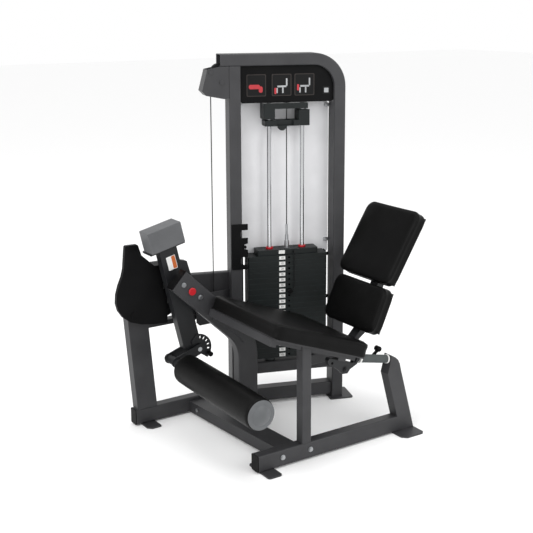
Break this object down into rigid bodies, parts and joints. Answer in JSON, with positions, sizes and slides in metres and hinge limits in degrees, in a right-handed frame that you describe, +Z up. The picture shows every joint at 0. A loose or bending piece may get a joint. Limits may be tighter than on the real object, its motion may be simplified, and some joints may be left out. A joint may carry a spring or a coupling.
{
  "type": "leg extension machine",
  "caption": "Selectorized leg extension machine with weight stack tower, pivoting roller arm, padded seat and sliding back rest.",
  "frame": {"origin": "centre of the bounding box at floor level", "axes": "+Z up; the seated user faces -Y; +X is the user's left, away from the weight stack tower"},
  "size_m": [0.924, 1.2386, 1.65],
  "materials": {
    "frame_paint": "satin",
    "dark_steel": "satin",
    "black_steel": "satin",
    "shroud_panel": "satin",
    "black_plastic": "matte",
    "chrome_rod": "polished",
    "weight_steel": "matte",
    "label_white": "matte",
    "rubber_black": "matte",
    "bright_steel": "satin",
    "red_plastic": "gloss",
    "counterweight_iron": "satin",
    "cam_aluminium": "satin",
    "wheel_plastic": "matte",
    "pad_leather": "satin",
    "cap_plastic": "satin",
    "cord_black": "matte"
  },
  "bodies": {
    "frame": {"tower_left_upright": "frame_paint", "tower_top_bend": "frame_paint", "tower_right_upright": "frame_paint", "tower_cross_beams": "frame_paint", "rear_shroud": "shroud_panel", "shroud_clips": "bright_steel", "placard": "black_plastic", "top_pulley_housing": "frame_paint", "side_guards": "black_plastic", "accessory_bracket": "black_plastic", "guide_rods": "chrome_rod", "stack_bumpers": "rubber_black", "stack_plates_resting": "weight_steel", "weight_labels_resting": "label_white", "near_side_frame": "frame_paint", "floor_plates": "frame_paint", "far_side_frame": "frame_paint", "tube_end_caps": "black_plastic", "cross_beam": "frame_paint", "near_post": "frame_paint", "link_beam": "frame_paint", "main_bent_tube": "frame_paint", "frame_bolts": "bright_steel", "cover_shell": "black_plastic", "cover_outer_plate": "black_steel", "seat_pad": "pad_leather", "seat_frame": "frame_paint", "grip_tube": "bright_steel", "hand_grip": "rubber_black", "grip_rings": "label_white", "cast_bracket": "dark_steel", "lift_cable": "cord_black"},
    "stack": {"stack_plates_lifted": "weight_steel", "weight_labels_lifted": "label_white", "head_plate": "weight_steel", "head_bushings": "red_plastic", "selector_rod": "bright_steel", "pin_lanyard": "cord_black"},
    "pin": {"selector_pin": "black_plastic"},
    "swing_arm": {"arm": "dark_steel", "counterweight": "counterweight_iron", "arm_label": "label_white", "hinge_shaft": "bright_steel", "hinge_cap": "red_plastic", "cam": "cam_aluminium", "position_disc": "dark_steel", "fork_pin": "bright_steel"},
    "fork": {"roller_fork": "dark_steel"},
    "plunger": {"pull_pin": "black_plastic"},
    "roller": {"roller_core": "cap_plastic", "roller_pad": "pad_leather"},
    "addon_upper": {"addon_weight_upper": "weight_steel"},
    "addon_lower": {"addon_weight_lower": "weight_steel"},
    "back_rest": {"back_carriage": "dark_steel", "back_pad_lower": "pad_leather", "back_pad_upper": "pad_leather"},
    "lever": {"back_lever": "black_plastic"},
    "wheel_front": {"top_pulley_front": "wheel_plastic"},
    "wheel_rear": {"top_pulley_rear": "wheel_plastic"},
    "wheel_low": {"lower_pulley": "wheel_plastic"}
  },
  "joints": [
    {"name": "stack_lift", "type": "slide", "parent": "frame", "child": "stack", "axis": [0, 0, 1], "range_m": [0, 0.155]},
    {"name": "arm_hinge", "type": "hinge", "parent": "frame", "child": "swing_arm", "pos_m": [-0.197, -0.33336, 0.649], "axis": [-1, 0, 0], "range_deg": [0, 92]},
    {"name": "selector_pin_slide", "type": "slide", "parent": "stack", "child": "pin", "axis": [0.9483, -0.3173, 0], "range_m": [0, 0.09]},
    {"name": "fork_adjust", "type": "hinge", "parent": "swing_arm", "child": "fork", "pos_m": [-0.247, -0.25936, 0.352], "axis": [1, 0, 0], "range_deg": [0, 88]},
    {"name": "pull_pin_slide", "type": "slide", "parent": "fork", "child": "plunger", "axis": [1, 0, 0], "range_m": [0, 0.008], "stiffness_N_per_m": 300, "springref_m": -0.01},
    {"name": "roller_spin", "type": "hinge", "parent": "fork", "child": "roller", "pos_m": [0.142, -0.37636, 0.311], "axis": [1, 0, 0], "continuous": true},
    {"name": "addon_lower_drop", "type": "slide", "parent": "frame", "child": "addon_lower", "axis": [0, 0, -1], "range_m": [0, 0.38]},
    {"name": "addon_upper_drop", "type": "slide", "parent": "frame", "child": "addon_upper", "axis": [0, 0, -1], "range_m": [0, 0.38]},
    {"name": "back_slide", "type": "slide", "parent": "frame", "child": "back_rest", "axis": [0, 1, 0], "range_m": [-0.05, 0.06]},
    {"name": "back_lever_hinge", "type": "hinge", "parent": "back_rest", "child": "lever", "pos_m": [0.198, 0.30564, 0.35], "axis": [1, 0, 0], "range_deg": [0, 20], "stiffness_Nm_per_rad": 0.6, "springref_deg": -17.19},
    {"name": "front_wheel_spin", "type": "hinge", "parent": "frame", "child": "wheel_front", "pos_m": [-0.36305, -0.07607, 1.572], "axis": [0.9483, -0.3173, 0], "range_deg": [-270, 270]},
    {"name": "rear_wheel_spin", "type": "hinge", "parent": "frame", "child": "wheel_rear", "pos_m": [-0.27433, 0.18908, 1.572], "axis": [0.9483, -0.3173, 0], "range_deg": [-270, 270]},
    {"name": "low_wheel_spin", "type": "hinge", "parent": "frame", "child": "wheel_low", "pos_m": [-0.37428, -0.15704, 0.5], "axis": [-1, 0, 0], "range_deg": [-270, 270]}
  ],
  "couplings": [
    {"joint": "arm_hinge", "follows": "stack_lift", "rad_per_m": 10.267},
    {"joint": "front_wheel_spin", "follows": "stack_lift", "rad_per_m": 28.249},
    {"joint": "rear_wheel_spin", "follows": "stack_lift", "rad_per_m": 28.249},
    {"joint": "low_wheel_spin", "follows": "stack_lift", "rad_per_m": 21.097},
    {"joint": "addon_upper_drop", "follows": "addon_lower_drop", "ratio": 1}
  ]
}
